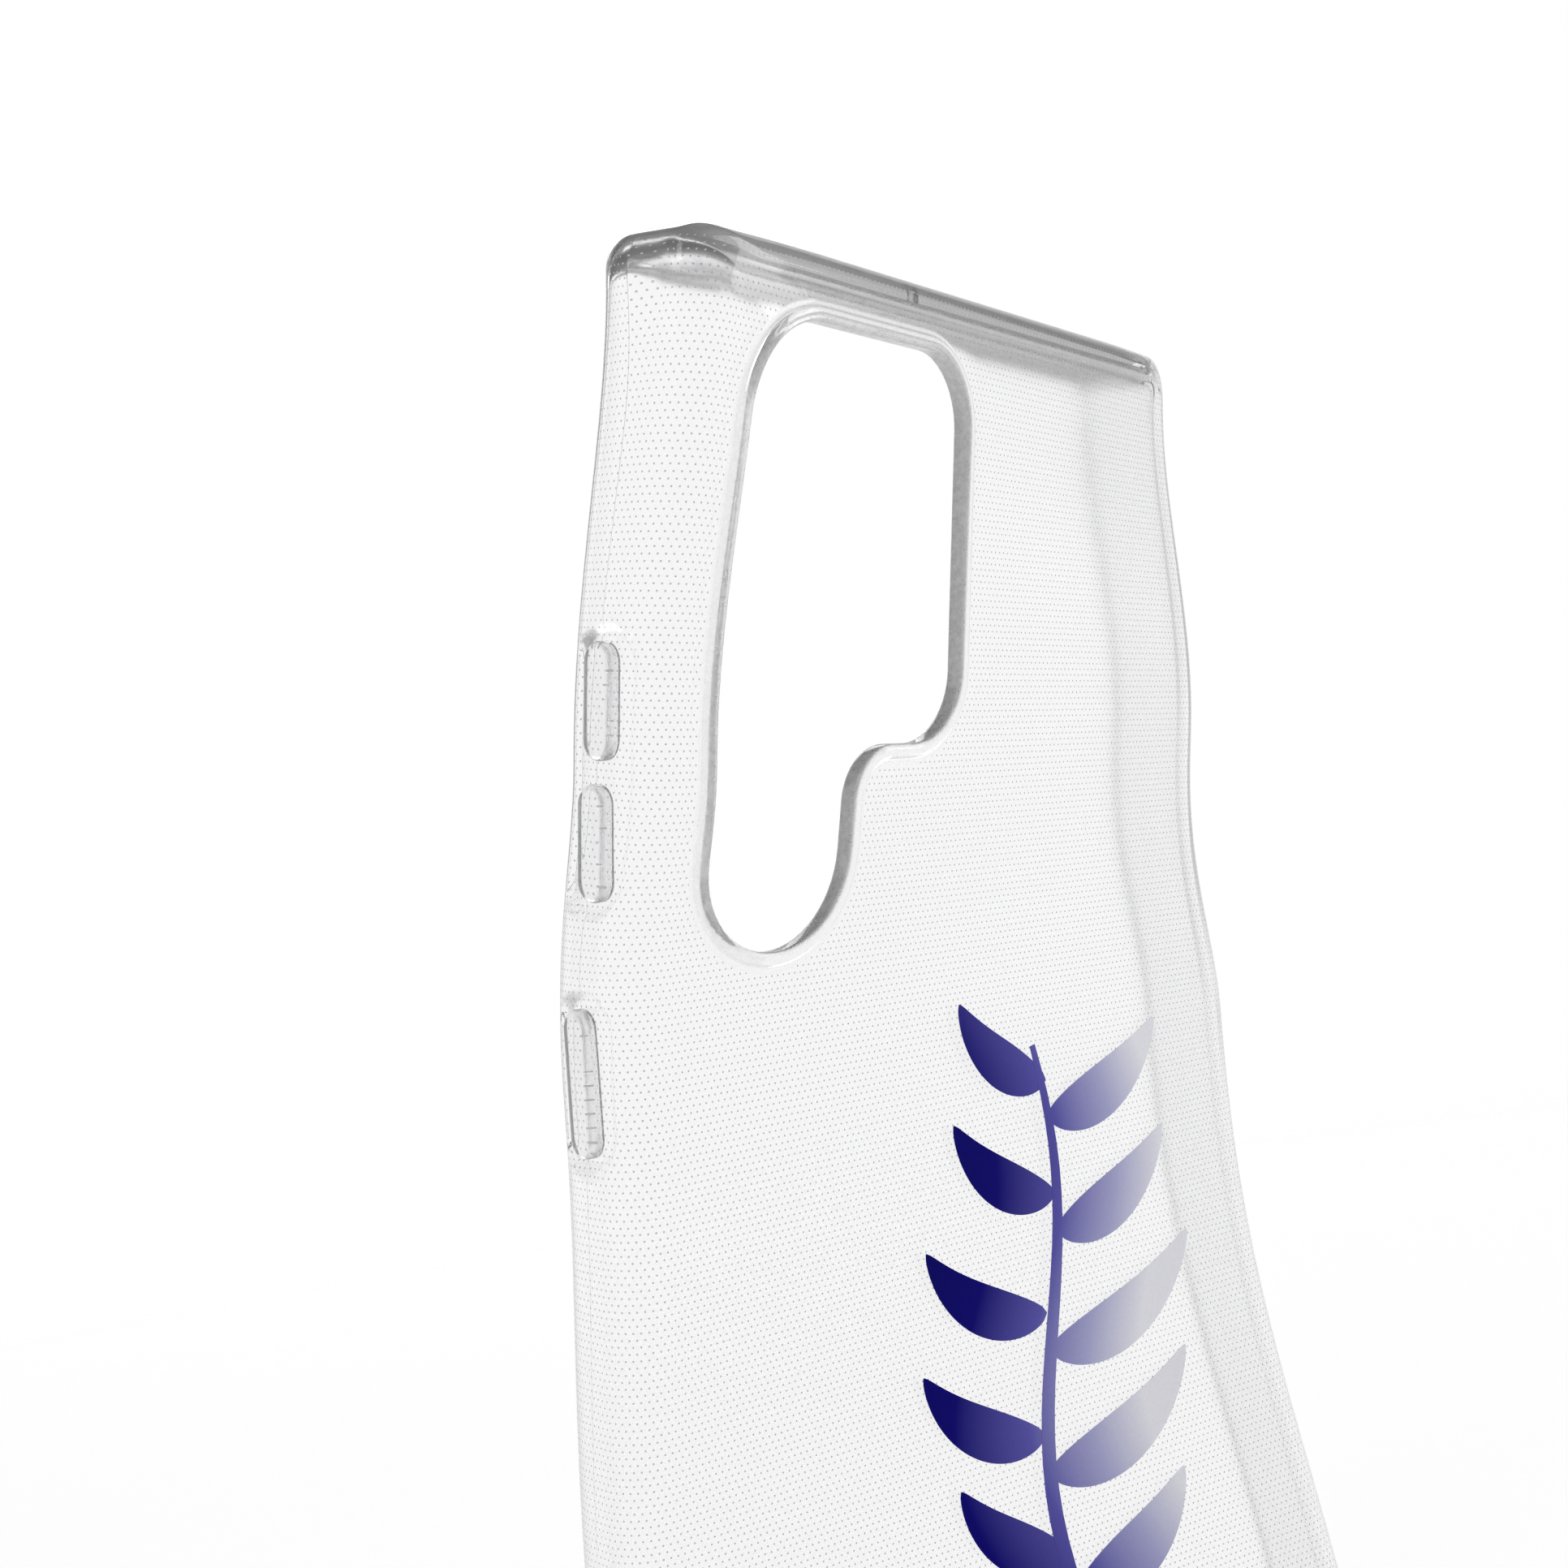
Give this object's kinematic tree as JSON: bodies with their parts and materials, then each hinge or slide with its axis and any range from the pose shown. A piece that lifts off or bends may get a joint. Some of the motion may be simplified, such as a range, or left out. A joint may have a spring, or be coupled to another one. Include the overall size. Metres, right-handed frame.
{
  "type": "phone case",
  "caption": "Clear flexible phone case, held slightly bent and twisted, with a raised camera opening, covered side buttons, bottom port openings and a printed leaf ornament.",
  "frame": {"origin": "centre of the footprint of the flexed case, at the height of its bottom edge", "axes": "+Z from the bottom edge to the top edge of the case, -Y out of the printed back, +X to the right seen from the back"},
  "size_m": [0.0824, 0.053, 0.169],
  "materials": {
    "clear_tpu": "clear glossy flexible plastic, pressed with a fine lattice of dots",
    "clear_tpu_rim": "clear glossy flexible plastic, raised rim",
    "clear_tpu_button": "clear glossy flexible plastic, button cover",
    "ink": "printed ink, dark blue to pale lavender"
  },
  "bodies": {
    "lower_shell": {"back_panel_lower": "clear_tpu", "left_wall_lower": "clear_tpu", "right_wall_lower": "clear_tpu", "bottom_wall": "clear_tpu", "corner_bottom_left": "clear_tpu", "corner_bottom_right": "clear_tpu", "ink_print_lower": "ink"},
    "middle_shell": {"back_panel_middle": "clear_tpu", "left_wall_middle": "clear_tpu", "right_wall_middle": "clear_tpu", "power_recess_web": "clear_tpu_button", "ink_print_middle": "ink"},
    "shoulder_shell": {"back_panel_shoulder": "clear_tpu", "left_wall_shoulder": "clear_tpu", "right_wall_shoulder": "clear_tpu", "volume_recess_web": "clear_tpu_button", "camera_rim_shoulder": "clear_tpu_rim"},
    "crown_shell": {"back_panel_crown": "clear_tpu", "left_wall_crown": "clear_tpu", "right_wall_crown": "clear_tpu", "top_wall": "clear_tpu", "corner_top_left": "clear_tpu", "corner_top_right": "clear_tpu", "camera_rim_crown": "clear_tpu_rim"},
    "power_button": {"power_cover": "clear_tpu_button", "power_press_pad": "clear_tpu_button"},
    "volume_up_button": {"volume_up_cover": "clear_tpu_button", "volume_up_press_pad": "clear_tpu_button"},
    "volume_down_button": {"volume_down_cover": "clear_tpu_button", "volume_down_press_pad": "clear_tpu_button"}
  },
  "joints": [
    {"name": "flex_lower", "type": "hinge", "parent": "lower_shell", "child": "middle_shell", "pos_m": [0.00053, 0.00869, 0.062], "axis": [-0.5812, 0, -0.8137], "range_deg": [0, 12.9]},
    {"name": "flex_middle", "type": "hinge", "parent": "middle_shell", "child": "shoulder_shell", "pos_m": [0.00106, 0.00287, 0.10642], "axis": [-0.8248, -0.0792, -0.5599], "range_deg": [0, 9.02]},
    {"name": "flex_top", "type": "hinge", "parent": "shoulder_shell", "child": "crown_shell", "pos_m": [0.00251, -0.00609, 0.14043], "axis": [-0.0411, 0.2547, -0.9661], "range_deg": [0, 7]},
    {"name": "power_press", "type": "slide", "parent": "middle_shell", "child": "power_button", "axis": [0.9833, 0.1817, 0.0119], "range_m": [0, 0.0004], "stiffness_N_per_m": 2500},
    {"name": "volume_up_press", "type": "slide", "parent": "shoulder_shell", "child": "volume_up_button", "axis": [0.9638, 0.265, 0.0288], "range_m": [0, 0.0004], "stiffness_N_per_m": 2500},
    {"name": "volume_down_press", "type": "slide", "parent": "shoulder_shell", "child": "volume_down_button", "axis": [0.9638, 0.265, 0.0288], "range_m": [0, 0.0004], "stiffness_N_per_m": 2500}
  ],
  "couplings": [
    {"joint": "flex_middle", "follows": "flex_lower", "ratio": 0.69856},
    {"joint": "flex_top", "follows": "flex_lower", "ratio": 0.54249}
  ]
}
